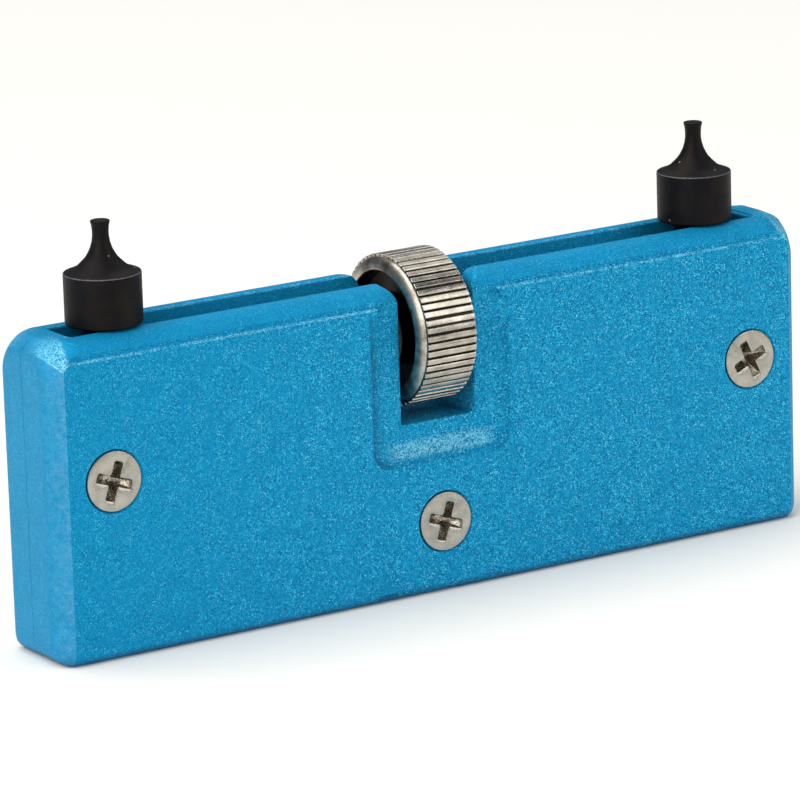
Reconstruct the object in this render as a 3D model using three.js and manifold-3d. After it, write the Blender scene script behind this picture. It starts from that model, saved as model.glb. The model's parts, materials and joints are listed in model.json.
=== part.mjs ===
// Adjustable watch case back opener: a two-shell metal case, a left- and right-handed lead screw turned
// by a knurled wheel, and two claws on carriers that the screw moves together or apart.
//
// Millimetres. +X runs along the case, +Z is up, the front face looks along -Y. The origin is at the
// middle of the bottom edge, on the plane where the two shells meet.

import * as THREE from 'three';
import { mergeVertices } from 'three/addons/utils/BufferGeometryUtils.js';
import Module from 'manifold-3d';

const wasm = await Module();
wasm.setup();

// ---------------------------------------------------------------- driving dimensions

const CLEARANCE = 0.3; // gap between neighbouring pieces
const PAST = 1; // how far a cutter runs past the face it cuts
const ROUND_SIDES = 32; // sides of the small round pieces

// Case
const CASE_LENGTH = 90;
const CASE_HEIGHT = 32.3;
const CASE_DEPTH = 11.2;
const SEAM_GAP = 0.1;
const TOP_CORNER_RADIUS = 3.2;
const BOTTOM_CORNER_RADIUS = 2.0;
const BEVEL_WIDTH = 1.65; // measured in the plane of the front face
const BEVEL_DEPTH = 1.4; // measured along Y
const BOTTOM_EDGE_RADIUS = 1;

// Slot in the top face, and the channel below it that the carriers slide in
const SLOT_HALF_LENGTH = 40.8;
const SLOT_WIDTH = 4.92;
const SLOT_CORNER_RADIUS = 0.3;
const LIP_THICKNESS = 1.8;
const CHANNEL_END = 41;
const CHANNEL_FLOOR = 21.9;
const CHANNEL_WIDTH = 7.2;

// Window for the wheel, open at the top, and the sloped relief around it
const WINDOW_HALF_WIDTH = 4.4;
const WINDOW_FLOOR = 17.84;
const WINDOW_MOUTH_RADIUS = 2;
const RELIEF_HALF_WIDTH = 8.5;
const RELIEF_FLOOR = 13.75;
const RELIEF_DEPTH = 0.94;
const BEARING_WALL = 2; // between the window and the channel

// Lead screw and wheel, on one axis along X
const AXIS_HEIGHT = 26.7;
const SCREW_RADIUS = 2.5;
const JOURNAL_RADIUS = 2;
const JOURNAL_START = 40.7;
const JOURNAL_END = 42.9;
const JOURNAL_CHAMFER = 0.4;
const WHEEL_RADIUS = 7.85;
const WHEEL_WIDTH = 7;
const WHEEL_RIDGES = 60;
const RIDGE_HEIGHT = 0.35;
const WHEEL_BEVEL_LENGTH = 0.6; // of the wide shallow bevel between the ridges and the dished side
const DISH_RADIUS = 6.3;
const DISH_DEPTH = 1.5;
const HUB_RADIUS = 3.8;
const HUB_SETBACK = 0.2;

// Bearings of the lead screw
const INNER_BUSH_RADIUS = 3.7;
const END_BUSH_RADIUS = 2.8;
const END_BUSH_LENGTH = 1.7;
const WASHER_RADIUS = 4.3;
const WASHER_THICKNESS = 0.5;
const WASHER_MIDDLE = 3.95; // distance from the middle of the wheel

// Carriers and claws
const CLAW_DISTANCE = 35.5; // claw axis from the middle of the case, in the stored position
const CARRIER_LENGTH = 7.8;
const NECK_RADIUS = 2.15;
const NECK_TOP = 32.3;
const CLAW_HOLE_RADIUS = 1.5;
const CLAW_STUD_RADIUS = 1.2;
const CLAW_STUD_BOTTOM = 29.5;
const CLAW_BOTTOM = 32.6;
const CLAW_RADIUS = 3.87;
const CLAW_SHOULDER = 37.7;
const CLAW_EDGE_BREAK = 0.15;
// The concave flare up to the tip, as [radius, height above the shoulder]
const CLAW_FLARE = [
  [2.75, 0.42], [2.4, 0.7], [1.9, 1.16], [1.5, 1.65], [1.1, 2.4], [0.88, 3.2], [0.83, 3.9], [0.97, 5], [0.97, 5.15],
  [0, 5.15],
];

// Case screws: countersunk, with a cross recess
const CASE_SCREW_PLACES = {
  left_case_screw: { x: -38.3, z: 18.15, turn: -18.5 },
  centre_case_screw: { x: 0, z: 7.39, turn: -18.5 },
  right_case_screw: { x: 38.3, z: 18.15, turn: 25 },
};
const HEAD_RADIUS = 3.07;
const SHANK_RADIUS = 1.5;
const CASE_SCREW_LENGTH = 8;
const SCREW_HOLE_EXTRA_DEPTH = 0.5;
const RECESS_SPAN = 4;
const RECESS_WIDTH = 0.95;
const RECESS_DEPTH = 1.3;

// Pegs that line the shells up
const PEG_DISTANCE = 22;
const PEG_HEIGHT = 8;
const PEG_RADIUS = 1;
const PEG_LENGTH = 1.5;

// ---------------------------------------------------------------- materials

const FINISHES = {
  bluePaint: { color: 0x158ebf, roughness: 0.45, metalness: 0.4 },
  nickel: { color: 0xcdc3b9, roughness: 0.25, metalness: 1 },
  blackOxide: { color: 0x231e1c, roughness: 0.5, metalness: 0.5 },
  steel: { color: 0x9a9a98, roughness: 0.35, metalness: 1 },
  brass: { color: 0xc2a05a, roughness: 0.35, metalness: 1 },
};

// ---------------------------------------------------------------- solids

function solid(geometry) {
  const bare = geometry.clone();
  bare.deleteAttribute('normal');
  bare.deleteAttribute('uv');
  const merged = mergeVertices(bare, 1e-5);
  const vertProperties = new Float32Array(merged.attributes.position.array);
  const triVerts = new Uint32Array(merged.index.array);
  return new wasm.Manifold(new wasm.Mesh({ numProp: 3, vertProperties, triVerts }));
}

function geometryOf(manifold) {
  const mesh = manifold.getMesh();
  const geometry = new THREE.BufferGeometry();
  geometry.setAttribute('position', new THREE.BufferAttribute(mesh.vertProperties, 3));
  geometry.setIndex(new THREE.BufferAttribute(mesh.triVerts, 1));
  geometry.computeVertexNormals();
  return geometry;
}

function cutAll(manifold, cutters) {
  return cutters.reduce((rest, cutter) => rest.subtract(cutter), manifold);
}

function addAll(manifold, extras) {
  return extras.reduce((sum, extra) => sum.add(extra), manifold);
}

// Corners are the lowest and highest points of the box, as [x, y, z].
function box(low, high) {
  const size = high.map((value, i) => value - low[i]);
  const geometry = new THREE.BoxGeometry(...size);
  geometry.translate(...low.map((value, i) => value + size[i] / 2));
  return solid(geometry);
}

// Extrudes a shape drawn in X and Z along Y.
function alongY(shape, yFrom, yTo, options = {}) {
  const geometry = new THREE.ExtrudeGeometry(shape, {
    depth: yTo - yFrom,
    bevelEnabled: false,
    curveSegments: 6,
    ...options,
  });
  geometry.rotateX(Math.PI / 2);
  geometry.translate(0, yTo, 0);
  return solid(geometry);
}

// Extrudes a shape drawn in Y and Z along X.
function alongX(shape, xFrom, xTo) {
  const options = { depth: xTo - xFrom, bevelEnabled: false, curveSegments: 6 };
  const geometry = new THREE.ExtrudeGeometry(shape, options);
  const turn = new THREE.Matrix4().makeBasis(
    new THREE.Vector3(0, 1, 0),
    new THREE.Vector3(0, 0, 1),
    new THREE.Vector3(1, 0, 0),
  );
  geometry.applyMatrix4(turn);
  geometry.translate(xFrom, 0, 0);
  return solid(geometry);
}

// Extrudes a shape drawn in X and Y along Z.
function alongZ(shape, zFrom, zTo) {
  const options = { depth: zTo - zFrom, bevelEnabled: false, curveSegments: 6 };
  const geometry = new THREE.ExtrudeGeometry(shape, options);
  geometry.translate(0, 0, zFrom);
  return solid(geometry);
}

// A profile is a list of [radius, height] that starts and ends on the axis or closes on itself.
function lathe(profile, sides = ROUND_SIDES) {
  const points = profile.map(([radius, height]) => new THREE.Vector2(radius, height));
  return new THREE.LatheGeometry(points, sides);
}

function turnedOnX(profile, sides) {
  return solid(lathe(profile, sides).rotateZ(-Math.PI / 2));
}

function turnedOnZ(profile, sides) {
  return solid(lathe(profile, sides).rotateX(Math.PI / 2));
}

function turnedOnY(profile, sides) {
  return solid(lathe(profile, sides));
}

// Profile of a plain cylinder between two heights.
function rod(radius, low, high) {
  return [[0, low], [radius, low], [radius, high], [0, high]];
}

// Profile of a plain ring between two heights.
function ring(innerRadius, outerRadius, low, high) {
  return [[innerRadius, low], [outerRadius, low], [outerRadius, high], [innerRadius, high], [innerRadius, low]];
}

// ---------------------------------------------------------------- shapes

function polygon(corners) {
  return new THREE.Shape(corners.map(([u, v]) => new THREE.Vector2(u, v)));
}

// A rectangle with its own radius for the two lower and the two upper corners.
function roundedRectangle(left, bottom, right, top, lowerRadius, upperRadius) {
  const shape = new THREE.Shape();
  shape.moveTo(left + lowerRadius, bottom);
  shape.lineTo(right - lowerRadius, bottom);
  shape.absarc(right - lowerRadius, bottom + lowerRadius, lowerRadius, -Math.PI / 2, 0);
  shape.lineTo(right, top - upperRadius);
  shape.absarc(right - upperRadius, top - upperRadius, upperRadius, 0, Math.PI / 2);
  shape.lineTo(left + upperRadius, top);
  shape.absarc(left + upperRadius, top - upperRadius, upperRadius, Math.PI / 2, Math.PI);
  shape.lineTo(left, bottom + lowerRadius);
  shape.absarc(left + lowerRadius, bottom + lowerRadius, lowerRadius, Math.PI, Math.PI * 1.5);
  return shape;
}

// The window in X and Z: straight sides that curve outwards where they reach the top face.
function windowOutline() {
  const half = WINDOW_HALF_WIDTH;
  const mouth = WINDOW_MOUTH_RADIUS;
  const arcHeight = CASE_HEIGHT - mouth;
  const shape = new THREE.Shape();
  shape.moveTo(-half, WINDOW_FLOOR);
  shape.lineTo(half, WINDOW_FLOOR);
  shape.lineTo(half, arcHeight);
  shape.absarc(half + mouth, arcHeight, mouth, Math.PI, Math.PI / 2, true);
  shape.lineTo(half + mouth, CASE_HEIGHT + PAST);
  shape.lineTo(-half - mouth, CASE_HEIGHT + PAST);
  shape.lineTo(-half - mouth, CASE_HEIGHT);
  shape.absarc(-half - mouth, arcHeight, mouth, Math.PI / 2, 0, true);
  return shape;
}

// ---------------------------------------------------------------- case

// The two closed shells as one bevelled block.
function caseBlock() {
  const halfLength = CASE_LENGTH / 2;
  const halfDepth = CASE_DEPTH / 2;
  const tall = roundedRectangle(
    -halfLength, -CASE_HEIGHT, halfLength, CASE_HEIGHT, BOTTOM_CORNER_RADIUS, TOP_CORNER_RADIUS,
  );
  const bevelled = alongY(tall, -halfDepth + BEVEL_DEPTH, halfDepth - BEVEL_DEPTH, {
    bevelEnabled: true,
    bevelThickness: BEVEL_DEPTH,
    bevelSize: BEVEL_WIDTH,
    bevelOffset: -BEVEL_WIDTH,
    bevelSegments: 1,
  });
  const outline = roundedRectangle(
    -halfLength, 0, halfLength, CASE_HEIGHT + TOP_CORNER_RADIUS, BOTTOM_CORNER_RADIUS, TOP_CORNER_RADIUS,
  );
  const section = roundedRectangle(
    -halfDepth, 0, halfDepth, CASE_HEIGHT + PAST, BOTTOM_EDGE_RADIUS, PAST,
  );
  return bevelled
    .intersect(alongY(outline, -CASE_DEPTH, CASE_DEPTH))
    .intersect(alongX(section, -CASE_LENGTH, CASE_LENGTH));
}

function slotCutter() {
  const shape = roundedRectangle(
    -SLOT_HALF_LENGTH, -SLOT_WIDTH / 2, SLOT_HALF_LENGTH, SLOT_WIDTH / 2,
    SLOT_CORNER_RADIUS, SLOT_CORNER_RADIUS,
  );
  return alongZ(shape, CASE_HEIGHT - LIP_THICKNESS - CLEARANCE, CASE_HEIGHT + PAST);
}

// One half of the channel; side is -1 for the left half and 1 for the right half.
function channelCutter(side) {
  const ends = [side * (WINDOW_HALF_WIDTH + BEARING_WALL), side * CHANNEL_END];
  const low = [Math.min(...ends), -CHANNEL_WIDTH / 2, CHANNEL_FLOOR];
  const high = [Math.max(...ends), CHANNEL_WIDTH / 2, CASE_HEIGHT - LIP_THICKNESS];
  return box(low, high);
}

// The slopes that lead from one outer face down to the window; side is -1 for the front face.
function reliefCutter(side) {
  const face = side * CASE_DEPTH / 2;
  const inner = face - side * RELIEF_DEPTH;
  const outer = face + side * PAST;
  const plan = polygon([
    [-WINDOW_HALF_WIDTH, inner], [-RELIEF_HALF_WIDTH, face], [-RELIEF_HALF_WIDTH, outer],
    [RELIEF_HALF_WIDTH, outer], [RELIEF_HALF_WIDTH, face], [WINDOW_HALF_WIDTH, inner],
  ]);
  const section = polygon([
    [inner, WINDOW_FLOOR], [inner, CASE_HEIGHT + PAST], [outer, CASE_HEIGHT + PAST],
    [outer, RELIEF_FLOOR], [face, RELIEF_FLOOR],
  ]);
  return alongZ(plan, 0, CASE_HEIGHT + PAST)
    .intersect(alongX(section, -CASE_LENGTH, CASE_LENGTH));
}

function bearingSeats() {
  const innerEnd = WINDOW_HALF_WIDTH + BEARING_WALL + PAST;
  const endSeat = JOURNAL_END + CLEARANCE;
  const seats = [
    turnedOnX(rod(INNER_BUSH_RADIUS + CLEARANCE, -innerEnd, innerEnd)),
    turnedOnX(rod(END_BUSH_RADIUS + CLEARANCE, -endSeat, endSeat)),
  ];
  return seats.map((seat) => seat.translate([0, 0, AXIS_HEIGHT]));
}

function caseScrewHole({ x, z }) {
  const face = -CASE_DEPTH / 2;
  const hole = SHANK_RADIUS + CLEARANCE;
  const mouth = HEAD_RADIUS + CLEARANCE;
  const bottom = face + CASE_SCREW_LENGTH + SCREW_HOLE_EXTRA_DEPTH;
  const profile = [
    [0, face - PAST], [mouth, face - PAST], [mouth, face], [hole, face + mouth - hole], [hole, bottom], [0, bottom],
  ];
  return turnedOnY(profile).translate([x, 0, z]);
}

function pegs(radius, length) {
  return [-1, 1].map((side) => (
    turnedOnY(rod(radius, -length, PEG_LENGTH)).translate([side * PEG_DISTANCE, 0, PEG_HEIGHT])
  ));
}

// The case block with everything cut that both shells share.
function hollowCase() {
  return cutAll(caseBlock(), [
    slotCutter(),
    channelCutter(-1),
    channelCutter(1),
    alongY(windowOutline(), -CASE_DEPTH, CASE_DEPTH),
    reliefCutter(-1),
    reliefCutter(1),
    ...bearingSeats(),
    ...Object.values(CASE_SCREW_PLACES).map(caseScrewHole),
  ]);
}

function halfSpace(side) {
  const y = [side * SEAM_GAP / 2, side * CASE_DEPTH];
  return box(
    [-CASE_LENGTH, Math.min(...y), -PAST],
    [CASE_LENGTH, Math.max(...y), CASE_HEIGHT + PAST],
  );
}

function frontShell() {
  const sockets = pegs(PEG_RADIUS + CLEARANCE, PEG_LENGTH + CLEARANCE);
  return cutAll(hollowCase().intersect(halfSpace(-1)), sockets);
}

function rearShell() {
  return addAll(hollowCase().intersect(halfSpace(1)), pegs(PEG_RADIUS, PEG_LENGTH));
}

// ---------------------------------------------------------------- screw, wheel and bearings

function leadScrew() {
  const half = [
    [SCREW_RADIUS, JOURNAL_START - JOURNAL_CHAMFER],
    [JOURNAL_RADIUS, JOURNAL_START],
    [JOURNAL_RADIUS, JOURNAL_END - JOURNAL_CHAMFER],
    [JOURNAL_RADIUS - JOURNAL_CHAMFER, JOURNAL_END],
    [0, JOURNAL_END],
  ];
  const mirrored = half.map(([radius, x]) => [radius, -x]).reverse();
  return turnedOnX([...mirrored, ...half]);
}

function ridgedOutline() {
  const corners = [];
  for (let i = 0; i < WHEEL_RIDGES * 2; i += 1) {
    const angle = i * Math.PI / WHEEL_RIDGES;
    const radius = i % 2 === 0 ? WHEEL_RADIUS : WHEEL_RADIUS - RIDGE_HEIGHT;
    corners.push([radius * Math.cos(angle), radius * Math.sin(angle)]);
  }
  return polygon(corners);
}

function adjustingWheel() {
  const end = WHEEL_WIDTH / 2;
  const bore = SCREW_RADIUS + CLEARANCE;
  const half = [
    [WHEEL_RADIUS + PAST, end - WHEEL_BEVEL_LENGTH],
    [WHEEL_RADIUS, end - WHEEL_BEVEL_LENGTH],
    [DISH_RADIUS, end],
    [DISH_RADIUS, end - DISH_DEPTH],
    [HUB_RADIUS, end - DISH_DEPTH],
    [HUB_RADIUS, end - HUB_SETBACK],
    [bore, end - HUB_SETBACK],
  ];
  const mirrored = half.map(([radius, x]) => [radius, -x]).reverse();
  const blank = turnedOnX([...mirrored, ...half, mirrored[0]], WHEEL_RIDGES);
  return alongX(ridgedOutline(), -WHEEL_WIDTH, WHEEL_WIDTH).intersect(blank);
}

function innerBush() {
  const half = (BEARING_WALL - CLEARANCE) / 2;
  return turnedOnX(ring(SCREW_RADIUS + CLEARANCE, INNER_BUSH_RADIUS, -half, half));
}

function endBush() {
  const half = END_BUSH_LENGTH / 2;
  return turnedOnX(ring(JOURNAL_RADIUS + CLEARANCE, END_BUSH_RADIUS, -half, half));
}

function thrustWasher() {
  const half = WASHER_THICKNESS / 2;
  return turnedOnX(ring(SCREW_RADIUS + CLEARANCE, WASHER_RADIUS, -half, half));
}

// ---------------------------------------------------------------- carriers and claws

// Drawn around its own claw axis, at its real height.
function carrier() {
  const halfWidth = CHANNEL_WIDTH / 2 - CLEARANCE;
  const top = CASE_HEIGHT - LIP_THICKNESS - CLEARANCE;
  const block = box(
    [-CARRIER_LENGTH / 2, -halfWidth, CHANNEL_FLOOR + CLEARANCE],
    [CARRIER_LENGTH / 2, halfWidth, top],
  );
  const neck = turnedOnZ(rod(NECK_RADIUS, AXIS_HEIGHT, NECK_TOP));
  const nutBore = turnedOnX(rod(SCREW_RADIUS + CLEARANCE, -CARRIER_LENGTH, CARRIER_LENGTH))
    .translate([0, 0, AXIS_HEIGHT]);
  const clawHole = turnedOnZ(rod(CLAW_HOLE_RADIUS, AXIS_HEIGHT, NECK_TOP + PAST));
  return cutAll(block.add(neck), [nutBore, clawHole]);
}

// A stud, a plain cylinder, and a concave flare that ends in a slim tip with a slightly wider top.
function claw() {
  return turnedOnZ([
    [0, CLAW_STUD_BOTTOM],
    [CLAW_STUD_RADIUS, CLAW_STUD_BOTTOM],
    [CLAW_STUD_RADIUS, CLAW_BOTTOM],
    [CLAW_RADIUS - CLAW_EDGE_BREAK, CLAW_BOTTOM],
    [CLAW_RADIUS, CLAW_BOTTOM + CLAW_EDGE_BREAK],
    [CLAW_RADIUS, CLAW_SHOULDER],
    ...CLAW_FLARE.map(([radius, height]) => [radius, CLAW_SHOULDER + height]),
  ]);
}

// ---------------------------------------------------------------- case screws

function recessCutter() {
  const arm = (turned) => {
    const half = [RECESS_SPAN / 2, RECESS_WIDTH / 2];
    const [x, z] = turned ? half.reverse() : half;
    return box([-x, -PAST, -z], [x, RECESS_DEPTH, z]);
  };
  return arm(false).add(arm(true));
}

// Drawn around its own axis, with the head's flat face at y = 0 and the shank pointing along +Y.
function caseScrew() {
  const profile = [
    [0, 0], [HEAD_RADIUS, 0], [SHANK_RADIUS, HEAD_RADIUS - SHANK_RADIUS],
    [SHANK_RADIUS, CASE_SCREW_LENGTH], [0, CASE_SCREW_LENGTH],
  ];
  return turnedOnY(profile).subtract(recessCutter());
}

// ---------------------------------------------------------------- assembly

function mesh(name, manifold, finish, position = [0, 0, 0]) {
  const material = new THREE.MeshStandardMaterial(FINISHES[finish]);
  const piece = new THREE.Mesh(geometryOf(manifold), material);
  piece.name = name;
  piece.position.set(...position);
  return piece;
}

function caseGroup() {
  const group = new THREE.Group();
  group.add(mesh('front_shell', frontShell(), 'bluePaint'));
  group.add(mesh('rear_shell', rearShell(), 'bluePaint'));
  for (const [name, { x, z, turn }] of Object.entries(CASE_SCREW_PLACES)) {
    const screw = mesh(name, caseScrew(), 'nickel', [x, -CASE_DEPTH / 2, z]);
    screw.rotation.y = THREE.MathUtils.degToRad(-turn);
    group.add(screw);
  }
  return group;
}

function spindleGroup() {
  const group = new THREE.Group();
  group.position.z = AXIS_HEIGHT;
  group.add(mesh('adjusting_wheel', adjustingWheel(), 'nickel'));
  group.add(mesh('lead_screw', leadScrew(), 'steel'));
  for (const [side, name] of [[-1, 'left'], [1, 'right']]) {
    const innerPlace = side * (WINDOW_HALF_WIDTH + BEARING_WALL / 2);
    const endPlace = side * (CHANNEL_END + CLEARANCE + END_BUSH_LENGTH / 2);
    group.add(mesh(`${name}_thrust_washer`, thrustWasher(), 'steel', [side * WASHER_MIDDLE, 0, 0]));
    group.add(mesh(`${name}_inner_bush`, innerBush(), 'brass', [innerPlace, 0, 0]));
    group.add(mesh(`${name}_end_bush`, endBush(), 'brass', [endPlace, 0, 0]));
  }
  return group;
}

function jawGroup(name, x) {
  const group = new THREE.Group();
  group.position.x = x;
  group.add(mesh(`${name}_carrier`, carrier(), 'blackOxide'));
  group.add(mesh(`${name}_claw`, claw(), 'blackOxide'));
  return group;
}

const opener = new THREE.Group();
opener.name = 'case_back_opener';
opener.add(caseGroup(), spindleGroup(), jawGroup('left', -CLAW_DISTANCE), jawGroup('right', CLAW_DISTANCE));

export default opener;
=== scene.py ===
"""Looks of the adjustable case back opener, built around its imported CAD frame.

Every piece is made here in millimetres, in the frame's own axes (+X along the case, +Z up, the front
face looking along -Y), and scaled to metres when it becomes a Blender object.
"""

import math
import random

import bmesh
import bpy
from mathutils import Matrix, Vector
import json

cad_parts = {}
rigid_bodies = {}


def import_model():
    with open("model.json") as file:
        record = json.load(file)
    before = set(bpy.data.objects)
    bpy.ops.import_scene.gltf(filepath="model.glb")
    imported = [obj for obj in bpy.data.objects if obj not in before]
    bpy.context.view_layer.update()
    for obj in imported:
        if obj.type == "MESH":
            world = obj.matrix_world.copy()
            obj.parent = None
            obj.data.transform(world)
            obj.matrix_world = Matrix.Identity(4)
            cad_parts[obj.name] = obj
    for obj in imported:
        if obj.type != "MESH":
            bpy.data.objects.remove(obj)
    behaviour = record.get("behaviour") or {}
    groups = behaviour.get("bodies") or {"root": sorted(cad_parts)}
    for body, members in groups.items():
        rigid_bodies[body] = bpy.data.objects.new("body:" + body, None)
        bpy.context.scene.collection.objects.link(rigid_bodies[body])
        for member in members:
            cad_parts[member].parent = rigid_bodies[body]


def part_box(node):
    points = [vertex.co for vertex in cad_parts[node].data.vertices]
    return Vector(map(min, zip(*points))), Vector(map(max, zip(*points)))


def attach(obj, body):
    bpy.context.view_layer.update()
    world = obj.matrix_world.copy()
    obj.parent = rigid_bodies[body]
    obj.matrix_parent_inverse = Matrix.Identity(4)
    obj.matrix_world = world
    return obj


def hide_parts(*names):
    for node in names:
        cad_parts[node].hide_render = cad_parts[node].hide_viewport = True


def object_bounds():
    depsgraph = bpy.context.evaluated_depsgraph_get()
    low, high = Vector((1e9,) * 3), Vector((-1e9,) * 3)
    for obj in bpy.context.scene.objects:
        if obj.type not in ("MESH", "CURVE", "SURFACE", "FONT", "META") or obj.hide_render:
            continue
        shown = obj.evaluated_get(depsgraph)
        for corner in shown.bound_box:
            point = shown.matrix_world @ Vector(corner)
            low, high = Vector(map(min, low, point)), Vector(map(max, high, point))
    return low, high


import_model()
cad_low, cad_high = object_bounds()

MM = 0.001


# ---------------------------------------------------------------- places taken from the CAD frame

def corners(node):
    """Lowest and highest corner of a CAD node, in millimetres."""
    low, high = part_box(node)
    return low / MM, high / MM


def centre(node):
    low, high = corners(node)
    return (low + high) / 2


FRONT_LOW, FRONT_HIGH = corners("front_shell")
HALF_LENGTH = FRONT_HIGH.x
HEIGHT = FRONT_HIGH.z
FACE = -FRONT_LOW.y
AXIS = centre("adjusting_wheel").z
WHEEL_LOW, WHEEL_HIGH = corners("adjusting_wheel")
WHEEL_RADIUS = WHEEL_HIGH.y
WHEEL_HALF = WHEEL_HIGH.x
CASE_SCREWS = ("left_case_screw", "centre_case_screw", "right_case_screw")

# ---------------------------------------------------------------- dimensions in millimetres

SEAM = 0.015
SEAM_EDGE = 0.05
CROWN = 0.25  # how much higher the top is at the seam than at the end of the land
CORNER_TURN = 2.3  # distance from the seam at which the upper corners begin to open out
SEAM_RINGS = 3  # the points of an edge profile that make the seam's edge
SOFT_STEPS = 5
ARC_STEPS = 14
ROUND = 96  # steps round the large turned pieces
SMALL_ROUND = 64  # and round the small ones
FIT = 0.3  # gap between pieces that move or are pressed together

# The form of the ledge up to a flat face, as shares of its height and of its width: a steep ledge with a
# fine groove at its foot, or a soft slope.
STEEP_LEDGE = ((-0.18, -0.35), (0.06, 0.12), (0.85, 0.85), (1.0, 1.15))
SOFT_SLOPE = ((0.0, 0.0), (0.1, 0.45), (0.38, 0.8), (1.0, 1.1))

# How a shell's outer edge falls from the land, the band beside the seam, to the flat face. "inset" and
# "depth" are the size of the bevel, and "knee" a point on it, as how far inward and outward from the end of
# the land. "land" and "face" are how softly it meets the land and ends. After it come a flat run and a
# ledge up to the face, of the given height, width and form.
BEVELS = {
    "bottom": {
        "inset": 0.8, "depth": 0.8, "knee": (0.45, 0.45), "land": 0.4, "face": 0.4,
        "run": 0.05, "ledge": 0.0, "ledge_width": 0.1, "form": STEEP_LEDGE,
    },
    "end": {
        "inset": 1.6, "depth": 1.4, "knee": (1.25, 1.05), "land": 1.2, "face": 0.08,
        "run": 0.05, "ledge": 0.0, "ledge_width": 0.1, "form": STEEP_LEDGE,
    },
    "top": {
        "inset": 1.07, "depth": 1.5, "knee": (0.72, 0.8), "land": 0.7, "face": 0.12,
        "run": 0.36, "ledge": 0.36, "ledge_width": 0.28, "form": STEEP_LEDGE,
    },
    "window": {
        "inset": 1.6, "depth": 0.84, "knee": (0.8, 0.05), "land": 0.25, "face": 0.15,
        "run": 0.1, "ledge": 0.72, "ledge_width": 2.0, "form": SOFT_SLOPE,
    },
    "floor": {
        "inset": 2.95, "depth": 1.2, "knee": (1.5, 0.05), "land": 0.25, "face": 0.25,
        "run": 0.5, "ledge": 0.27, "ledge_width": 0.26, "form": STEEP_LEDGE,
    },
}
WINDOW_HALF = 4.4
WINDOW_FLOOR = 17.84
SEAM_RADII = {"lower": 2.0, "upper": 2.2, "mouth": 2.0, "floor": 0.5}
LAND_RADII = {"lower": 2.0, "upper": 4.0, "mouth": 2.0, "floor": 0.5}
FACE_RADII = {"lower": 1.2, "upper": 1.4, "mouth": 1.3, "floor": 0.9}
UPPER_CORNERS = (2, 7)  # of the outline
FACET_START = 5 / 14  # how far round an upper corner the flat facet across it starts
FACETING = 0.4  # 1 makes the facet quite flat
# The painted highlight on the facets lies above this height at the ends, and as much lower as it is further
# in, and outside a distance from the middle that grows with the distance from the seam.
FACET_LOW = 31.3
FACET_INNER = 41.5
FACET_SPREAD = 0.2

SLOT_HALF_LENGTH = 40.8
SLOT_HALF_WIDTH = 2.46
SLOT_RADIUS = 0.25
LIP = 1.8
LIP_SOFTNESS = 0.28
LIP_RISE = 0.1  # the crown raises the slot's edges
CHANNEL_START = 6.4
CHANNEL_END = 41.0
CHANNEL_FLOOR = 21.9
CHANNEL_HALF_WIDTH = 3.6
INNER_SEAT_RADIUS = 4.0
END_SEAT_RADIUS = 3.1
END_SEAT_REACH = 43.2

HEAD_RADIUS = 3.05
HOLE_GAP = 0.17
HOLE_SOFTNESS = 0.12
SHANK_RADIUS = 1.5
SHANK_GAP = 0.25
SCREW_LENGTH = 8.0
# The cross recess at several depths below the head's face: depth, reach of the arms and their half width.
RECESS_STATIONS = (
    (-0.5, 2.14, 0.6), (-0.02, 2.14, 0.6), (0.05, 2.03, 0.5), (0.35, 1.94, 0.44), (1.0, 1.35, 0.33),
    (1.5, 0.6, 0.2),
)
RECESS_TURNS = {"left_case_screw": -18.5, "centre_case_screw": -18.5, "right_case_screw": 25.0}

RIDGES = 60
RIDGE_DEPTH = 0.28
RIDGE_JITTER = 0.045
# One ridge of the knurl: how far round it, as a share of the pitch, and how high, as a share of the depth.
RIDGE_FORM = (
    (0.0, 0.0), (0.07, 0.05), (0.16, 0.8), (0.23, 0.96), (0.5, 1.0), (0.77, 0.96), (0.84, 0.8), (0.93, 0.05),
)
# How a ridge ends: distance back from its end, and how far below its full height.
RIDGE_END = ((0.0, 0.05), (0.03, 0.015), (0.09, 0.0))
WHEEL_BEVEL_RADIUS = 7.5
WHEEL_BEVEL_LENGTH = 0.62
# The rounded bevel beside the knurl: radius, and distance back from the wheel's end.
WHEEL_BEVEL = ((WHEEL_BEVEL_RADIUS, 0.57), (7.42, 0.47), (7.2, 0.28), (6.85, 0.12))
DISH_RADIUS = 6.3
DISH_DEPTH = 1.9
HUB_RADIUS = 3.6
BORE_RADIUS = 2.8

SCREW_RADIUS = 2.5
THREAD_PITCH = 0.8
THREAD_DEPTH = 0.45
THREAD_START = 7.0
THREAD_END = 40.2
THREAD_ROWS = 6  # rings per pitch
THREAD_STEPS = 32  # points per ring
JOURNAL_RADIUS = 2.0
JOURNAL_CHAMFER = 0.4
RING_EDGE = 0.12

CARRIER_EDGE = 0.35
NECK_RADIUS = 2.15
STUD_RADIUS = 1.2

CLAW_RADIUS = 3.87
CLAW_HEIGHT = 5.15  # from the shoulder to the tip
CLAW_SHOULDER = corners("left_claw")[1].z - CLAW_HEIGHT
# The claw's outline as (radius, height above its shoulder), from the shoulder over the flare to the tip.
CLAW_FLARE = (
    (CLAW_RADIUS, -0.08), (3.85, -0.03), (3.78, 0.02), (3.4, 0.16), (3.0, 0.31), (2.7, 0.45), (2.4, 0.68),
    (2.15, 0.92), (1.9, 1.17), (1.6, 1.5), (1.35, 1.9), (1.1, 2.4), (0.92, 3.0), (0.83, 3.6), (0.825, 4.1),
    (0.87, 4.6), (0.95, 4.95), (0.97, 5.05), (0.965, 5.11), (0.92, 5.15), (0.8, 5.15), (0.0, 5.13),
)


# ---------------------------------------------------------------- meshes

def mesh_from(bm, name):
    bmesh.ops.recalc_face_normals(bm, faces=bm.faces)
    mesh = bpy.data.meshes.new(name)
    bm.to_mesh(mesh)
    bm.free()
    return mesh


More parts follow.
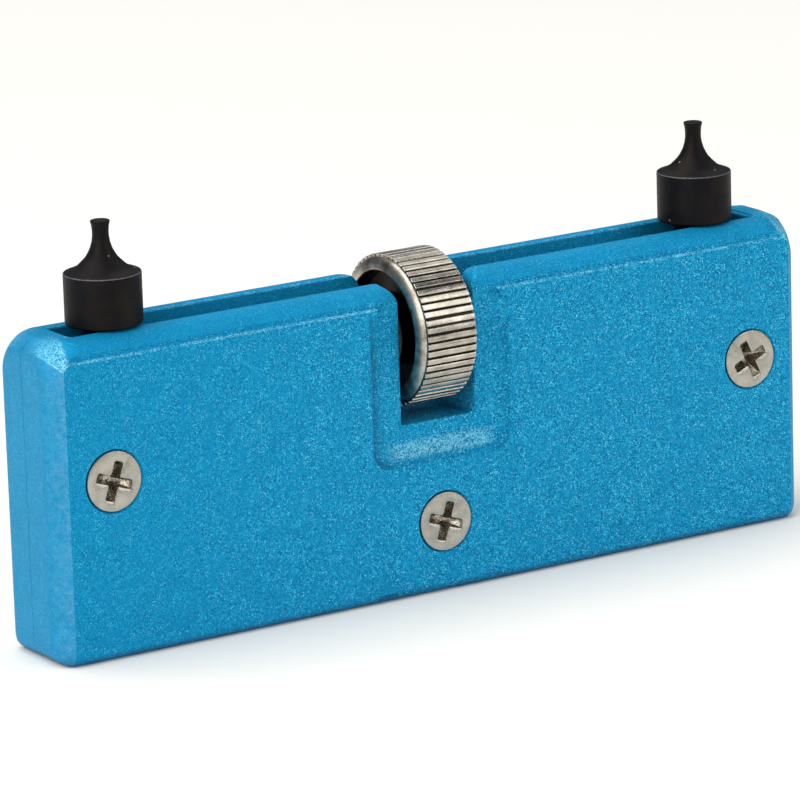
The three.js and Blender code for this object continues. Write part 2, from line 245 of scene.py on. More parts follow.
def loft(rings, name, endless=False):
    """A closed mesh through rings with equally many points.

    A flat face closes each end, or, if it is endless, the last ring joins the first.
    """
    bm = bmesh.new()
    rows = [[bm.verts.new(point) for point in ring] for ring in rings]
    count = len(rows[0])
    after_last = rows[:1] if endless else []
    for row, following in zip(rows, rows[1:] + after_last):
        for i in range(count):
            j = (i + 1) % count
            bm.faces.new((row[i], row[j], following[j], following[i]))
    if not endless:
        bm.faces.new(rows[0])
        bm.faces.new(rows[-1])
    return mesh_from(bm, name)


TURN_AXES = {
    "X": lambda radius, along, angle: (along, radius * math.cos(angle), radius * math.sin(angle)),
    "Y": lambda radius, along, angle: (radius * math.cos(angle), along, radius * math.sin(angle)),
    "Z": lambda radius, along, angle: (radius * math.cos(angle), radius * math.sin(angle), along),
}


def lathe(profile, axis, closed=False, steps=ROUND):
    """Turns (radius, along) points about an axis. An open profile starts and ends on the axis."""
    place = TURN_AXES[axis]
    bm = bmesh.new()
    rows = []
    for radius, along in profile:
        count = steps if radius > 0 else 1
        rows.append([bm.verts.new(place(radius, along, 2 * math.pi * i / steps)) for i in range(count)])
    pairs = list(zip(rows, rows[1:]))
    if closed:
        pairs.append((rows[-1], rows[0]))
    for row, following in pairs:
        for i in range(steps):
            j = (i + 1) % steps
            near = (row[i % len(row)], row[j % len(row)])
            far = (following[j % len(following)], following[i % len(following)])
            bm.faces.new(tuple(dict.fromkeys(near + far)))
    return mesh_from(bm, "lathe")


def rod(radius, start, end, axis, steps=SMALL_ROUND):
    return lathe([(0, start), (radius, start), (radius, end), (0, end)], axis, steps=steps)


def box(low, high):
    bm = bmesh.new()
    bmesh.ops.create_cube(bm, size=1)
    size = Vector(high) - Vector(low)
    middle = (Vector(high) + Vector(low)) / 2
    bmesh.ops.transform(bm, matrix=Matrix.Translation(middle) @ Matrix.Diagonal((*size, 1)), verts=bm.verts)
    return mesh_from(bm, "box")


def moved(mesh, offset):
    mesh.transform(Matrix.Translation(offset))
    return mesh


def combined(mesh, tools, operation):
    """The mesh after joining, cutting or intersecting it with each tool mesh in turn."""
    scene_objects = bpy.context.scene.collection.objects
    work = bpy.data.objects.new("work", mesh)
    scene_objects.link(work)
    helpers = []
    for tool in tools:
        helper = bpy.data.objects.new("tool", tool)
        scene_objects.link(helper)
        helpers.append(helper)
        modifier = work.modifiers.new("boolean", "BOOLEAN")
        modifier.operation = operation
        modifier.solver = "EXACT"
        modifier.object = helper
    result = evaluated_mesh(work)
    for helper in [work, *helpers]:
        bpy.data.objects.remove(helper)
    return result


def evaluated_mesh(item):
    graph = bpy.context.evaluated_depsgraph_get()
    graph.update()
    return bpy.data.meshes.new_from_object(item.evaluated_get(graph))


def cut(mesh, *tools):
    return combined(mesh, tools, "DIFFERENCE")


def joined(mesh, *tools):
    return combined(mesh, tools, "UNION")


def edge_rounded(mesh, width):
    """The mesh with its sharp edges rounded."""
    work = bpy.data.objects.new("work", mesh)
    bpy.context.scene.collection.objects.link(work)
    modifier = work.modifiers.new("bevel", "BEVEL")
    modifier.width = width
    modifier.segments = 2
    modifier.limit_method = "ANGLE"
    modifier.angle_limit = math.radians(40)
    result = evaluated_mesh(work)
    bpy.data.objects.remove(work)
    return result


def piece(name, mesh, material, node, body, sharp=35):
    """Makes the mesh, given in millimetres, a piece that stands for one CAD node."""
    mesh.transform(Matrix.Scale(MM, 4))
    mesh.materials.clear()
    mesh.materials.append(material)
    mesh.shade_smooth()
    mesh.set_sharp_from_angle(angle=math.radians(sharp))
    made = bpy.data.objects.new(name, mesh)
    bpy.context.scene.collection.objects.link(made)
    modifier = made.modifiers.new("weighted normals", "WEIGHTED_NORMAL")
    modifier.keep_sharp = True
    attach(made, body)
    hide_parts(node)
    return made


# ---------------------------------------------------------------- materials

class Shader:
    """A material's node tree, with short calls for adding nodes and linking them."""

    def __init__(self, name):
        self.material = bpy.data.materials.new(name)
        self.material.use_nodes = True
        self.tree = self.material.node_tree
        self.surface = self.tree.nodes["Principled BSDF"]
        coordinates = self.add("ShaderNodeTexCoord")
        scaled = self.add("ShaderNodeVectorMath", operation="SCALE")
        scaled.inputs["Scale"].default_value = 1 / MM
        self.link(coordinates.outputs["Object"], scaled.inputs[0])
        self.place = scaled.outputs[0]  # position in millimetres

    def add(self, kind, **settings):
        node = self.tree.nodes.new(kind)
        for name, value in settings.items():
            setattr(node, name, value)
        return node

    def link(self, source, target):
        self.tree.links.new(source, target)

    def set(self, values):
        for name, value in values.items():
            self.surface.inputs[name].default_value = value

    def noise(self, scale, detail=2.0, roughness=0.5, place=None):
        node = self.add("ShaderNodeTexNoise")
        node.inputs["Scale"].default_value = scale
        node.inputs["Detail"].default_value = detail
        node.inputs["Roughness"].default_value = roughness
        self.link(place or self.place, node.inputs["Vector"])
        return node.outputs["Fac"]

    def cells(self, scale, place=None):
        """Random colour of each cell of a cell pattern, and the distance from the cell's point."""
        node = self.add("ShaderNodeTexVoronoi")
        node.inputs["Scale"].default_value = scale
        self.link(place or self.place, node.inputs["Vector"])
        return node.outputs["Color"], node.outputs["Distance"]

    def parts(self):
        """X, Y and Z of the position in millimetres."""
        node = self.add("ShaderNodeSeparateXYZ")
        self.link(self.place, node.inputs[0])
        return node.outputs

    def mirrored_parts(self):
        """X, Y and Z of the position in millimetres, X and Y as distances from the middle."""
        along, depth, up = self.parts()
        return self.maths("ABSOLUTE", along), self.maths("ABSOLUTE", depth), up

    def channel(self, colour):
        node = self.add("ShaderNodeSeparateColor")
        self.link(colour, node.inputs[0])
        return node.outputs["Red"]

    def spread(self, value, low, high, out_low, out_high):
        """Maps a value's range from low..high to out_low..out_high, clamped."""
        node = self.add("ShaderNodeMapRange")
        limits = {"From Min": low, "From Max": high, "To Min": out_low, "To Max": out_high}
        for name, number in limits.items():
            node.inputs[name].default_value = number
        self.link(value, node.inputs["Value"])
        return node.outputs["Result"]

    def between(self, value, low, high, softness):
        """1 between low and high, falling to 0 over the softness on each side of them."""
        above = self.spread(value, low - softness, low, 0, 1)
        below = self.spread(value, high, high + softness, 1, 0)
        return self.maths("MULTIPLY", above, below)

    def maths(self, operation, first, second=0.0):
        node = self.add("ShaderNodeMath", operation=operation)
        for socket, value in zip(node.inputs, (first, second)):
            if isinstance(value, (int, float)):
                socket.default_value = value
            else:
                self.link(value, socket)
        return node.outputs[0]

    def product(self, first, *others):
        for value in others:
            first = self.maths("MULTIPLY", first, value)
        return first

    def largest(self, first, *others):
        for value in others:
            first = self.maths("MAXIMUM", first, value)
        return first

    def mix(self, share, first, second, blend="MIX"):
        node = self.add("ShaderNodeMix", data_type="RGBA", blend_type=blend)
        sockets = (node.inputs[0], node.inputs[6], node.inputs[7])
        for socket, value in zip(sockets, (share, first, second)):
            if isinstance(value, (int, float, tuple)):
                socket.default_value = value
            else:
                self.link(value, socket)
        return node.outputs[2]

    def grey(self, value):
        node = self.add("ShaderNodeCombineColor")
        for socket in node.inputs:
            self.link(value, socket)
        return node.outputs[0]

    def bump(self, height, distance):
        """The normal over a relief with the given height in millimetres."""
        node = self.add("ShaderNodeBump")
        node.inputs["Strength"].default_value = 1.0
        node.inputs["Distance"].default_value = distance * MM
        self.link(height, node.inputs["Height"])
        return node.outputs["Normal"]

    def use(self, socket, source):
        self.link(source, self.surface.inputs[socket])


FLAKE_CELLS = 10.0  # cells per millimetre
GLINT_CELLS = 5.0
FACE_TOP = HEIGHT - BEVELS["top"]["inset"]
FACE_END = HALF_LENGTH - BEVELS["end"]["inset"]

BLUE = (0.0, 0.272, 0.535, 1)
# Painted light that pales the case's ends.
END_PAINTED_LIGHT = (0.42, 0.56, 0.62, 1)
SHADED_BLUE = (0.0, 0.05, 0.16, 1)
LIGHT_FLAKE = (0.05, 0.64, 0.88, 1)
DARK_FLAKE = (0.0005, 0.12, 0.33, 1)
# Painted highlight on the case's small ledges, slopes, slot edges and corner facets.
PAINTED_HIGHLIGHT_BLUE = (0.34, 0.82, 0.95, 1)
GLINT = (0.3, 0.82, 0.98, 1)

WHEEL_PLATING = (0.62, 0.575, 0.50)
SCREW_PLATING = (0.47, 0.455, 0.41)
STEEL_GREY = (0.5, 0.49, 0.47)
BRASS_YELLOW = (0.78, 0.57, 0.25)
DRAWN_GREY = (0.10, 0.09, 0.075, 1)
TARNISH = (0.15, 0.115, 0.085, 1)
# Painted shade in the knurl's valleys and the wheel's dished sides.
KNURL_PAINTED_SHADE = (0.026, 0.023, 0.020, 1)
RECESS_BROWN = (0.07, 0.045, 0.025, 1)
# Painted glints inside the screws' cross recesses.
PAINTED_RECESS_GLINT = (0.62, 0.56, 0.46, 1)

OXIDE_BLACK = (0.0022, 0.0024, 0.0045, 1)
OXIDE_BROWN = (0.0085, 0.0056, 0.0042, 1)
WORN_SPECK = (0.3, 0.28, 0.26, 1)
# Painted highlight along the claws' shoulder edge.
PAINTED_RIM_HIGHLIGHT = (0.16, 0.16, 0.17, 1)


def metallic_paint():
    """Satin blue paint with fine metal flake in loose patches, smoother on the outer edges, with painted
    light and highlights on its ends and edges and painted shade beside the window and along the bottom.
    """
    shader = Shader("blue metallic paint")
    flake_colour, flake_distance = shader.cells(FLAKE_CELLS)
    lightness = shader.channel(flake_colour)
    # How much flake shows, with a painted fall-off of its sparkle towards the left.
    flake_with_fade = flake_share_with_painted_fade(shader)
    crisp = shader.spread(flake_distance, 0.3, 0.65, 1, 0.3)
    bright = shader.product(shader.spread(lightness, 0.58, 0.8, 0, 1), flake_with_fade, crisp)
    dark = shader.product(shader.spread(lightness, 0.45, 0.15, 0, 0.9), flake_with_fade)
    # Painted highlights on the small ledges, slopes, slot edges and corner facets.
    highlight_amount = shader.product(painted_highlight_share(shader), shader.spread(lightness, 0.35, 0.7, 0.1, 1))
    base = shader.mix(bright, BLUE, LIGHT_FLAKE)
    base = shader.mix(dark, base, DARK_FLAKE)
    # Painted light pales the ends.
    base = shader.mix(end_painted_light_share(shader), base, END_PAINTED_LIGHT)
    # Painted shade on the slope that borders the relief round the window.
    base = shader.mix(window_border_painted_shade(shader), base, SHADED_BLUE)
    # Painted shade along the rounded bottom edge.
    base = shader.mix(bottom_edge_painted_shade(shader), base, SHADED_BLUE)
    base = shader.mix(shader.product(glint_share(shader), flake_with_fade), base, GLINT)
    base = shader.mix(highlight_amount, base, PAINTED_HIGHLIGHT_BLUE)
    broad = shader.spread(shader.noise(0.35, detail=3), 0.3, 0.7, 0.96, 1.04)
    shader.use("Base Color", shader.mix(1.0, base, shader.grey(broad), "MULTIPLY"))
    shader.use("Roughness", shader.spread(lightness, 0, 1, 0.7, 0.56))
    shader.use("Normal", shader.bump(shader.noise(4.5, detail=3, roughness=0.65), 0.02))
    shader.set({"Metallic": 0.5, "Specular IOR Level": 0.2})
    return shader.material


def flake_share_with_painted_fade(shader):
    """How much flake shows: loose patches, fewer to the left as a painted fall-off of its sparkle, and under
    half on the top band and ends.
    """
    along, _, up = shader.parts()
    patches = shader.spread(shader.noise(0.8, detail=4, roughness=0.65), 0.36, 0.64, 0.4, 1)
    # Painted light: the flake's sparkle is weaker towards the left.
    painted_sparkle_fade = shader.spread(along, -HALF_LENGTH, 0, 0.55, 1.1)
    below_top = shader.spread(up, FACE_TOP - 0.3, FACE_TOP, 1, 0.4)
    inside_ends = shader.spread(shader.maths("ABSOLUTE", along), FACE_END - 0.2, FACE_END + 0.2, 1, 0.4)
    flat_face = shader.maths("MULTIPLY", below_top, inside_ends)
    return shader.product(patches, painted_sparkle_fade, flat_face)


def glint_share(shader):
    """Sparse round glints."""
    colour, distance = shader.cells(GLINT_CELLS)
    chosen = shader.spread(shader.channel(colour), 0.76, 0.82, 0, 1)
    return shader.maths("MULTIPLY", chosen, shader.spread(distance, 0.2, 0.36, 1, 0))


def end_painted_light_share(shader):
    """Painted light: how much the paint is paled on the case's ends, most of all on their bevels."""
    across, depth, _ = shader.mirrored_parts()
    bevel_start = FACE - BEVELS["end"]["depth"] - 0.3
    return shader.product(
        shader.spread(across, FACE_END - 0.02, FACE_END + 0.02, 0, 1),
        shader.spread(depth, bevel_start, FACE, 0.05, 0.11),
        shader.spread(shader.noise(1.6, detail=5, roughness=0.75), 0.38, 0.62, 0.3, 1.7),
    )


def window_border_painted_shade(shader):
    """Painted shade: how much the paint is darkened on the slope that borders the relief round the window."""
    along, _, _ = shader.parts()
    across, depth, up = shader.mirrored_parts()
    inner = WINDOW_HALF + BEVELS["window"]["inset"]
    return shader.product(
        shader.spread(depth, FACE - BEVELS["window"]["ledge"], FACE - 0.25, 0, 0.55),
        shader.spread(depth, FACE - 0.03, FACE - 0.01, 1, 0),
        shader.spread(across, inner + 2.0, inner + 2.4, 1, 0),
        shader.spread(across, inner - 0.2, inner + 0.4, 0.4, 1),
        shader.spread(up, HEIGHT - 6.0, HEIGHT - 4.5, 1, 0),
        shader.spread(along, -WINDOW_HALF, WINDOW_HALF, 1, 0.5),
    )


def bottom_edge_painted_shade(shader):
    """Painted shade: how much the paint is darkened along the rounded bottom edge."""
    _, _, up = shader.parts()
    return shader.spread(up, 0.1, 1.1, 0.45, 0)


def painted_highlight_share(shader):
    """Painted highlights on the case's small slopes and edges."""
    broken = shader.spread(shader.noise(0.9, detail=3), 0.4, 0.6, 0.15, 0.55)
    return shader.largest(
        shader.product(top_ledge_highlight(shader), broken),
        relief_slope_highlight(shader),
        shader.product(slot_edge_highlight(shader), broken),
        corner_facet_highlight(shader),
    )


def top_ledge_highlight(shader):
    """Painted highlight: 1 on the small ledge below the top band."""
    across, depth, up = shader.mirrored_parts()
    top = BEVELS["top"]
    foot = FACE_TOP - top["face"] - top["run"] - 1.4 * top["ledge_width"]
    return shader.product(
        shader.between(depth, FACE - 0.5 * top["ledge"], FACE - 0.01, 0.04),
        shader.spread(up, foot, foot + 0.05, 0, 1),
        shader.spread(across, FACE_END - 0.9, FACE_END - 0.7, 1, 0),
    )


def relief_slope_highlight(shader):
    """Painted highlight: half on the broad slope below the window."""
    across, depth, up = shader.mirrored_parts()
    floor = BEVELS["floor"]
    slope_low = WINDOW_FLOOR - floor["inset"] - 0.1
    slope_high = WINDOW_FLOOR - floor["knee"][0] - 0.45
    relief_half = WINDOW_HALF + BEVELS["window"]["inset"]
    slope_depth = FACE - floor["depth"]
    return shader.product(
        shader.between(up, slope_low, slope_high, 0.45),
        shader.spread(across, WINDOW_HALF + 0.6, relief_half + 0.8, 1, 0),
        shader.spread(depth, slope_depth - 0.1, slope_depth, 0, 0.5),
    )


def slot_edge_highlight(shader):
    """Painted highlight: 0.6 along the slot's upper edges."""
    _, depth, up = shader.mirrored_parts()
    return shader.product(
        shader.between(depth, SLOT_HALF_WIDTH - 0.02, SLOT_HALF_WIDTH + 0.14, 0.06),
        shader.spread(up, HEIGHT - 0.2, HEIGHT - 0.1, 0, 0.6),
    )


def corner_facet_highlight(shader):
    """Painted highlight, up to 0.8 on the facets across the upper corners, fading towards the seam."""
    across, depth, up = shader.mirrored_parts()
    fall = shader.maths("SUBTRACT", up, across)
    facet_fall = FACET_LOW - HALF_LENGTH
    inner = shader.maths("SUBTRACT", across, shader.maths("MULTIPLY", depth, FACET_SPREAD))
    return shader.product(
        shader.spread(fall, facet_fall, facet_fall + 0.15, 0, 0.8),
        shader.spread(inner, FACET_INNER, FACET_INNER + 0.3, 0, 1),
        shader.spread(depth, 0.9, 5.5, 0, 1),
        shader.spread(depth, FACE - 0.02, FACE - 0.01, 1, 0),
    )


def turning(shader):
    """Radius from the lead screw's axis, distance from the middle, and turning lines around that axis."""
    along, across, up = shader.parts()
    above = shader.maths("SUBTRACT", up, AXIS)
    across_squared = shader.maths("MULTIPLY", across, across)
    above_squared = shader.maths("MULTIPLY", above, above)
    radius = shader.maths("SQRT", shader.maths("ADD", across_squared, above_squared))
    along = shader.maths("ABSOLUTE", along)
    combine = shader.add("ShaderNodeCombineXYZ")
    shader.link(radius, combine.inputs[0])
    shader.link(along, combine.inputs[1])
    lines = shader.noise(7.0, detail=3, roughness=0.7, place=combine.outputs[0])
    return radius, along, lines


def stained(shader, colour, stain, scale=0.6):
    """A colour with soft darker stains; stain is how dark they are."""
    dark = tuple(stain * value for value in colour)
    tint = shader.spread(shader.noise(scale, detail=4, roughness=0.6), 0.35, 0.7, 0, 1)
    return shader.mix(tint, (*dark, 1), (*colour, 1))


def turned_metal(name, colour, roughness, line_depth):
    """Metal with fine turning lines around the lead screw's axis, and soft stains."""
    shader = Shader(name)
    _, _, lines = turning(shader)
    shader.use("Base Color", stained(shader, colour, 0.72))
    shader.use("Roughness", shader.spread(lines, 0.3, 0.7, roughness * 0.75, roughness * 1.3))
    shader.use("Normal", shader.bump(lines, line_depth))
    shader.set({"Metallic": 1.0})
    return shader.material


def knurled_nickel():
    """Bright nickel with turning lines, tarnish on the smooth sides, and painted shade in the knurl's valleys
    and the dished sides.
    """
    shader = Shader("nickel wheel")
    radius, along, lines = turning(shader)
    knurl_end = WHEEL_HALF - WHEEL_BEVEL_LENGTH
    knurl = shader.spread(along, knurl_end - 0.02, knurl_end + 0.02, 1, 0)
    drawn = drawn_lines(shader)
    base = stained(shader, WHEEL_PLATING, 0.6)
    base = shader.mix(shader.spread(drawn, 0.55, 0.7, 0, 0.65), base, DRAWN_GREY)
    base = shader.mix(tarnish_share(shader, knurl), base, TARNISH)
    # Painted shade between the ridges and in the dished sides.
    base = shader.mix(valley_painted_shade_share(shader, radius, knurl), base, KNURL_PAINTED_SHADE)
    shader.use("Base Color", base)
    wear = shader.noise(2.2, detail=4, roughness=0.65)
    smooth_side = shader.spread(radius, WHEEL_BEVEL_RADIUS, WHEEL_BEVEL_RADIUS + 0.05, 0.3, 0)
    shader.use("Roughness", shader.maths("MAXIMUM", smooth_side, shader.spread(wear, 0.3, 0.7, 0.13, 0.3)))
    height = shader.maths("ADD", shader.maths("MULTIPLY", lines, 0.6), shader.maths("MULTIPLY", wear, 0.8))
    shader.use("Normal", shader.bump(shader.maths("ADD", height, drawn), 0.016))
    shader.set({"Metallic": 1.0})
    return shader.material


def tarnish_share(shader, knurl):
    """Soft patches on the wheel's sides, beside the knurl."""
    patches = shader.spread(shader.noise(0.45, detail=4, roughness=0.6), 0.42, 0.6, 0, 0.8)
    return shader.maths("MULTIPLY", patches, shader.maths("SUBTRACT", 1, knurl))


def valley_painted_shade_share(shader, radius, knurl):
    """Painted shade: 1 between the ridges of the knurl and inside the dished sides."""
    valley = shader.spread(radius, WHEEL_RADIUS - RIDGE_DEPTH + 0.04, WHEEL_RADIUS - 0.06, 1, 0)
    dish = shader.spread(radius, DISH_RADIUS - 0.14, DISH_RADIUS - 0.04, 1, 0)
    return shader.maths("MAXIMUM", shader.maths("MULTIPLY", valley, knurl), dish)


def drawn_lines(shader):
    """Fine irregular lines that run along the ridges of the knurl."""
    stretched = shader.add("ShaderNodeVectorMath", operation="MULTIPLY")
    stretched.inputs[1].default_value = (0.09, 1.0, 1.0)
    shader.link(shader.place, stretched.inputs[0])
    return shader.noise(4.5, detail=3, roughness=0.7, place=stretched.outputs[0])


def screw_nickel():
    """Nickel plating, darker and browner deeper in the cross recess, with painted glints there."""
    shader = Shader("nickel screws")
    pits = shader.noise(5.0, detail=4, roughness=0.65)
    _, depth, _ = shader.mirrored_parts()
    sunk = shader.spread(depth, FACE - 0.5, FACE - 0.05, 0.75, 0)
    plating = stained(shader, SCREW_PLATING, 0.75, 0.8)
    # Inside the recess the colour is dark brown, with painted glints in the lighter specks.
    recess_colour = shader.mix(shader.spread(pits, 0.4, 0.6, 0, 1), RECESS_BROWN, PAINTED_RECESS_GLINT)
    shader.use("Base Color", shader.mix(sunk, plating, recess_colour))
    shader.use("Roughness", shader.spread(pits, 0.3, 0.7, 0.2, 0.34))
    shader.use("Normal", shader.bump(pits, 0.014))
    shader.set({"Metallic": 1.0})
    return shader.material


def plated_metal(name, colour, roughness):
    """Bright metal with fine pits and faint stains."""
    shader = Shader(name)
    pits = shader.noise(5.0, detail=4, roughness=0.65)
    shader.use("Base Color", stained(shader, colour, 0.8, 0.8))
    shader.use("Roughness", shader.spread(pits, 0.3, 0.7, roughness * 0.8, roughness * 1.3))
    shader.use("Normal", shader.bump(pits, 0.012))
    shader.set({"Metallic": 1.0})
    return shader.material


def black_oxide():
    """Blackened steel: satin, with faint turning lines, brown bloom, specks of wear and a painted highlight
    along the shoulder's edge.
    """
    shader = Shader("black oxide steel")
    _, _, up = shader.parts()
    upright = shader.add("ShaderNodeCombineXYZ")
    shader.link(up, upright.inputs[2])
    lines = shader.noise(5.0, detail=3, roughness=0.7, place=upright.outputs[0])
    grain = shader.noise(6.0, detail=4, roughness=0.65)
    bloom = shader.spread(shader.noise(0.5, detail=4), 0.38, 0.64, 0, 1)
    speck_colour, speck_distance = shader.cells(1.1)
    speck_cells = shader.spread(shader.channel(speck_colour), 0.88, 0.93, 0, 1)
    specks = shader.maths("MULTIPLY", speck_cells, shader.spread(speck_distance, 0.06, 0.14, 1, 0))
    # A painted highlight along the shoulder's edge, broken up by the grain.
    rim = shader.between(up, CLAW_SHOULDER - 0.05, CLAW_SHOULDER + 0.01, 0.03)
    rim_highlight = shader.maths("MULTIPLY", rim, shader.spread(grain, 0.4, 0.62, 0.25, 1))
    base = shader.mix(bloom, OXIDE_BLACK, OXIDE_BROWN)
    base = shader.mix(specks, base, WORN_SPECK)
    shader.use("Base Color", shader.mix(rim_highlight, base, PAINTED_RIM_HIGHLIGHT))
    shader.use("Roughness", shader.spread(grain, 0.3, 0.7, 0.42, 0.6))
    height = shader.maths("ADD", lines, shader.maths("MULTIPLY", grain, 0.6))
    shader.use("Normal", shader.bump(height, 0.012))
    shader.set({"Metallic": 0.3, "Specular IOR Level": 0.17})
    return shader.material


PAINT = metallic_paint()
WHEEL_NICKEL = knurled_nickel()
SCREW_NICKEL = screw_nickel()
STEEL = turned_metal("steel", STEEL_GREY, 0.3, 0.01)
BRASS = plated_metal("brass", BRASS_YELLOW, 0.3)
OXIDE = black_oxide()


# ---------------------------------------------------------------- shells

def rounded_loop(loop_corners, steps=ARC_STEPS):
    """Points of a loop of right-angled corners (x, z, radius), each as an arc, with its outward direction.

    Each point also says which side comes before and after its corner, and how far round the arc it is.
    """
    points = []
    count = len(loop_corners)
    for index, (x, z, radius) in enumerate(loop_corners):
        here = Vector((x, z))
        before = Vector(loop_corners[index - 1][:2])
        after = Vector(loop_corners[(index + 1) % count][:2])
        arriving = (here - before).normalized()
        leaving = (after - here).normalized()
        middle = here - radius * arriving + radius * leaving
        for step in range(steps + 1):
            angle = math.pi / 2 * step / steps
            position = middle + radius * (arriving * math.sin(angle) - leaving * math.cos(angle))
            heading = arriving * math.cos(angle) + leaving * math.sin(angle)
            outward = Vector((heading.y, -heading.x))
            points.append({
                "at": position,
                "out": outward,
                "sides": ((index - 1) % count, index),
                "share": step / steps,
            })
    return points


# The sides of a shell's outline, each named after its bevel, in order from the lower left corner.
OUTLINE_SIDES = ("bottom", "end", "top", "window", "floor", "window", "top", "end")


def shell_corners(radii, inset, crown=0.0):
    """The eight corners of the outline, drawn in by each side's own inset when inset is 1."""
    end = HALF_LENGTH - inset * BEVELS["end"]["inset"]
    bottom = inset * BEVELS["bottom"]["inset"]
    top = HEIGHT + crown - inset * BEVELS["top"]["inset"]
    half = WINDOW_HALF + inset * BEVELS["window"]["inset"]
    floor = WINDOW_FLOOR - inset * BEVELS["floor"]["inset"]
    return (
        (-end, bottom, radii["lower"]),
        (end, bottom, radii["lower"]),
        (end, top, radii["upper"]),
        (half, top, radii["mouth"]),
        (half, floor, radii["floor"]),
        (-half, floor, radii["floor"]),
        (-half, top, radii["mouth"]),
        (-end, top, radii["upper"]),
    )


def blend(point, first, second):
    """A value at an outline point, blended softly between the two sides that meet in its corner."""
    share = point["share"] ** 2 * (3 - 2 * point["share"])
    return first + (second - first) * share


def side_value(point, key):
    """A bevel measure at an outline point."""
    return blend(point, *(BEVELS[OUTLINE_SIDES[side]][key] for side in point["sides"]))


def knee_at(point):
    """How far inward and outward the knee of the bevel is at an outline point."""
    knees = (BEVELS[OUTLINE_SIDES[side]]["knee"] for side in point["sides"])
    return [blend(point, first, second) for first, second in zip(*knees)]


def ledge_form(point):
    """The ledge's form at an outline point, as shares of its height and width."""
    before, after = (BEVELS[OUTLINE_SIDES[side]]["form"] for side in point["sides"])
    return [
        [blend(point, *pair) for pair in zip(first, second)]
        for first, second in zip(before, after)
    ]


def curve_round(corner, arriving, leaving, softness):
    """Points of a quadratic curve that rounds a corner between two directions."""
    start = corner - softness * arriving
    end = corner + softness * leaving
    points = []
    for step in range(SOFT_STEPS + 1):
        t = step / SOFT_STEPS
        points.append(start * (1 - t) ** 2 + corner * (2 * t * (1 - t)) + end * t ** 2)
    return points


def edge_profile(seam_point, land_point, face_point):
    """The points that run from the seam, over the land, the bevel and the ledge, to the flat face.

    They are (x, depth from the seam plane, z), for one place on the outline.
    """
    def at(point, depth, inward=0.0):
        place = point["at"] - inward * point["out"]
        return Vector((place.x, depth, place.y))

    ledge = side_value(land_point, "ledge")
    land_depth = FACE - side_value(land_point, "depth")
    inward, outward = knee_at(land_point)
    land_end = at(land_point, land_depth)
    knee = at(land_point, land_depth + outward, inward)
    bevel_end = at(face_point, FACE - ledge)
    turn = at(seam_point, CORNER_TURN)
    after_land = (knee - land_end).normalized()
    after_knee = (bevel_end - knee).normalized()
    along_face = Vector((-face_point["out"].x, 0, -face_point["out"].y))
    land_softness = side_value(land_point, "land")
    face_softness = side_value(land_point, "face")
    foot = face_softness + side_value(land_point, "run")
    width = side_value(land_point, "ledge_width")
    points = [
        at(seam_point, SEAM, SEAM_EDGE),
        at(seam_point, SEAM + 0.3 * SEAM_EDGE, 0.3 * SEAM_EDGE),
        at(seam_point, SEAM + SEAM_EDGE),
        turn,
    ]
    points += curve_round(land_end, (land_end - turn).normalized(), after_land, land_softness)
    points.append(knee)
    points += curve_round(bevel_end, after_knee, along_face, face_softness)
    for rise, along in ledge_form(land_point):
        points.append(at(face_point, FACE - ledge * (1 - rise), foot + along * width))
    return points


def flatten_corner(columns, corner):
    """Draws a corner's columns, outside the seam's edge, towards a narrow flat and a wider facet."""
    towards_top = 1 if corner == UPPER_CORNERS[0] else -1
    first = corner * (ARC_STEPS + 1)
    numbers = [first + step for step in range(ARC_STEPS + 1)][::towards_top]
    bend = round(FACET_START * ARC_STEPS)
    for flat in (numbers[:bend + 1], numbers[bend:]):
        start, end = columns[flat[0]], columns[flat[-1]]
        for step, number in enumerate(flat):
            share = step / (len(flat) - 1)
            for ring in range(SEAM_RINGS, len(start)):
                chord = start[ring].lerp(end[ring], share)
                columns[number][ring] = columns[number][ring].lerp(chord, FACETING)


def shell_block(side):
    """The outer form of one shell, solid inside; side is -1 for the front shell."""
    seam_loop = rounded_loop(shell_corners(SEAM_RADII, 0, CROWN))
    land_loop = rounded_loop(shell_corners(LAND_RADII, 0))
    face_loop = rounded_loop(shell_corners(FACE_RADII, 1))
    columns = [edge_profile(*points) for points in zip(seam_loop, land_loop, face_loop)]
    if side < 0:
        for corner in UPPER_CORNERS:
            flatten_corner(columns, corner)
    rings = [
        [(point.x, side * point.y, point.z) for point in ring]
        for ring in zip(*columns)
    ]
    return loft(rings, "shell")


def flared(start, height, softness):
    """(distance, height) points of a cutter's mouth that curls outwards where it meets the surface."""
    points = [(start, height - softness)]
    for degrees in (20, 40, 60, 80):
        angle = math.radians(degrees)
        points.append((start + softness * (1 - math.cos(angle)), height - softness * (1 - math.sin(angle))))
    points.append((start + softness * 1.4, height + softness * 0.25))
    return points


def slot_cutter():
    """The slot between the lips, with softly rounded upper edges."""
    mouth = flared(0.0, HEIGHT + LIP_RISE, LIP_SOFTNESS)
    rings = []
    for offset, z in [(0.0, HEIGHT - LIP - 0.2), *mouth, (mouth[-1][0], HEIGHT + 1)]:
        across = SLOT_HALF_WIDTH + offset
        along = SLOT_HALF_LENGTH + offset
        radius = SLOT_RADIUS + offset
        ends = ((-along, -across), (along, -across), (along, across), (-along, across))
        loop = rounded_loop([(*place, radius) for place in ends], 6)
        rings.append([(point["at"].x, point["at"].y, z) for point in loop])
    return loft(rings, "slot")


